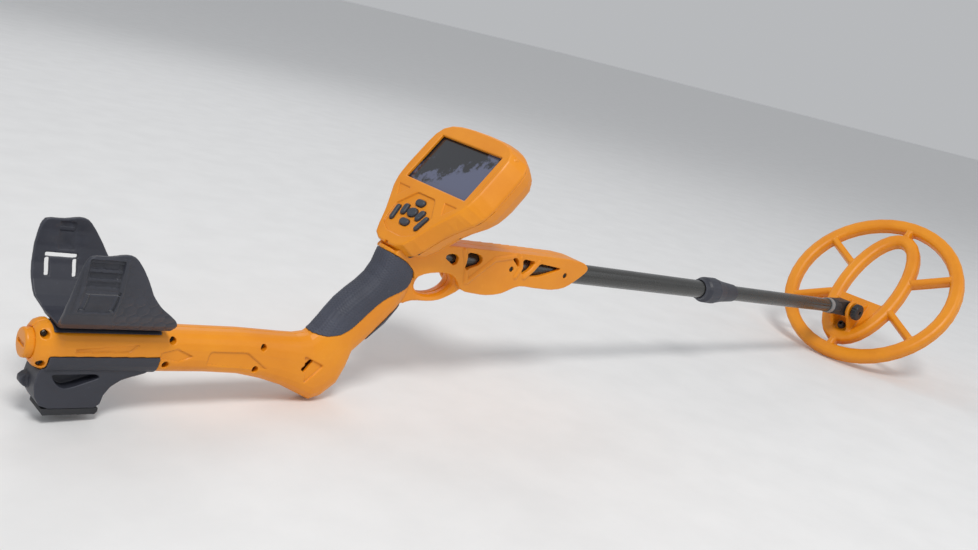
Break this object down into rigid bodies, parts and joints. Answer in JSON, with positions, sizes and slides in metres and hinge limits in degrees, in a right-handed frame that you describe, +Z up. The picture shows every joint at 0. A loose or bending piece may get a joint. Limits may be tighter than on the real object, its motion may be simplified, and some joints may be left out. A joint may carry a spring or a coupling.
{
  "type": "metal detector",
  "caption": "Handheld metal detector: S-shaped body with arm cuff and stand, tilted control head with screen and keys, twist-lock telescopic shaft and tilting open-spoke search coil.",
  "frame": {"origin": "centre of the bounding box at its base, on the surface that the body heel and the coil rim stand on", "axes": "+X runs from the arm cuff to the search coil, +Y to the left of the user, +Z up; the arm tube points 3 degrees nose-down, as the object lies at rest"},
  "size_m": [1.3368, 0.264, 0.2583],
  "materials": {
    "orange_shell": "moulded orange plastic, soft satin sheen",
    "orange_base": "moulded orange plastic, satin",
    "dark_plastic": "moulded near-black plastic, fine grain",
    "grip_rubber": "bluish grey soft overmould with fine dimples",
    "screw_steel": "dark plated steel",
    "cell_wrap": "printed-free green wrap",
    "contact_steel": "bright spring steel",
    "foot_rubber": "black moulded rubber",
    "seal_rubber": "black sealing rubber",
    "screen_glass": "smooth clear window over a blue-grey display",
    "lcd_frame": "grey display module",
    "button_rubber": "dark blue-grey key caps",
    "silicone": "grey silicone",
    "circuit_board": "green solder mask",
    "speaker_cone": "black paper cone",
    "carbon_tube": "dark satin composite tube",
    "nylon": "natural nylon",
    "ferrule_grey": "satin grey",
    "black_fitting": "glass-filled black nylon",
    "copper_winding": "varnished copper wire bundle"
  },
  "bodies": {
    "base": {"battery_cell_1": "cell_wrap", "battery_cell_2": "cell_wrap", "battery_contact": "contact_steel", "body_left": "orange_shell", "body_right": "orange_shell", "case_screw_1": "screw_steel", "case_screw_2": "screw_steel", "case_screw_3": "screw_steel", "case_screw_4": "screw_steel", "case_screw_5": "screw_steel", "case_screw_6": "screw_steel", "cuff_rail": "dark_plastic", "display_module": "lcd_frame", "finger_pad_lower": "grip_rubber", "finger_pad_upper": "grip_rubber", "foot_pad": "foot_rubber", "grip_pad": "grip_rubber", "head_front": "orange_shell", "head_rear": "orange_shell", "head_screw_1": "screw_steel", "head_screw_2": "screw_steel", "head_screw_3": "screw_steel", "head_screw_4": "screw_steel", "head_seal": "seal_rubber", "keypad_mat": "silicone", "lock_collet": "nylon", "main_board": "circuit_board", "screen_lens": "screen_glass", "shaft_screw_1": "screw_steel", "shaft_screw_2": "screw_steel", "speaker": "speaker_cone", "stand": "dark_plastic", "upper_tube": "carbon_tube"},
    "lid": {"battery_lid": "orange_shell"},
    "cuff": {"arm_cuff": "dark_plastic"},
    "collar": {"twist_collar": "dark_plastic"},
    "stem": {"lower_tube": "carbon_tube", "tube_ferrule": "ferrule_grey", "end_fitting": "black_fitting"},
    "coil": {"coil_top": "orange_shell", "coil_base": "orange_base", "transmit_winding": "copper_winding", "receive_winding": "copper_winding", "cable_gland": "black_fitting", "washer_left": "grip_rubber", "washer_right": "grip_rubber", "coil_bolt": "black_fitting"},
    "knob": {"coil_knob": "black_fitting"},
    "key_down": {"button_down": "button_rubber"},
    "key_left": {"button_left": "button_rubber"},
    "key_ok": {"button_ok": "button_rubber"},
    "key_right": {"button_right": "button_rubber"},
    "key_side_left": {"button_side_left": "button_rubber"},
    "key_side_right": {"button_side_right": "button_rubber"},
    "key_up": {"button_up": "button_rubber"}
  },
  "joints": [
    {"name": "lid_turn", "type": "hinge", "parent": "base", "child": "lid", "pos_m": [-0.66788, 0, 0.06165], "axis": [0.9986, 0, -0.0529], "range_deg": [0, 60]},
    {"name": "cuff_slide", "type": "slide", "parent": "base", "child": "cuff", "axis": [0.9986, 0, -0.0529], "range_m": [0, 0.03]},
    {"name": "collar_turn", "type": "hinge", "parent": "base", "child": "collar", "pos_m": [0.14058, 0, 0.10578], "axis": [0.9975, 0, -0.07], "range_deg": [0, 90]},
    {"name": "stem_slide", "type": "slide", "parent": "base", "child": "stem", "axis": [0.9975, 0, -0.07], "range_m": [-0.2, 0.05]},
    {"name": "coil_tilt", "type": "hinge", "parent": "stem", "child": "coil", "pos_m": [0.51572, 0, 0.07945], "axis": [0, 1, 0], "range_deg": [-60, 60]},
    {"name": "knob_turn", "type": "hinge", "parent": "coil", "child": "knob", "pos_m": [0.51572, 0, 0.07945], "axis": [0, -1, 0], "range_deg": [0, 180]},
    {"name": "key_down_press", "type": "slide", "parent": "base", "child": "key_down", "axis": [0.7898, 0, -0.6133], "range_m": [0, 0.0012], "stiffness_N_per_m": 1500, "springref_m": -0.0003},
    {"name": "key_left_press", "type": "slide", "parent": "base", "child": "key_left", "axis": [0.7898, 0, -0.6133], "range_m": [0, 0.0012], "stiffness_N_per_m": 1500, "springref_m": -0.0003},
    {"name": "key_ok_press", "type": "slide", "parent": "base", "child": "key_ok", "axis": [0.7898, 0, -0.6133], "range_m": [0, 0.0012], "stiffness_N_per_m": 1500, "springref_m": -0.0003},
    {"name": "key_right_press", "type": "slide", "parent": "base", "child": "key_right", "axis": [0.7898, 0, -0.6133], "range_m": [0, 0.0012], "stiffness_N_per_m": 1500, "springref_m": -0.0003},
    {"name": "key_side_left_press", "type": "slide", "parent": "base", "child": "key_side_left", "axis": [0.7898, 0, -0.6133], "range_m": [0, 0.0012], "stiffness_N_per_m": 1500, "springref_m": -0.0003},
    {"name": "key_side_right_press", "type": "slide", "parent": "base", "child": "key_side_right", "axis": [0.7898, 0, -0.6133], "range_m": [0, 0.0012], "stiffness_N_per_m": 1500, "springref_m": -0.0003},
    {"name": "key_up_press", "type": "slide", "parent": "base", "child": "key_up", "axis": [0.7898, 0, -0.6133], "range_m": [0, 0.0012], "stiffness_N_per_m": 1500, "springref_m": -0.0003}
  ]
}
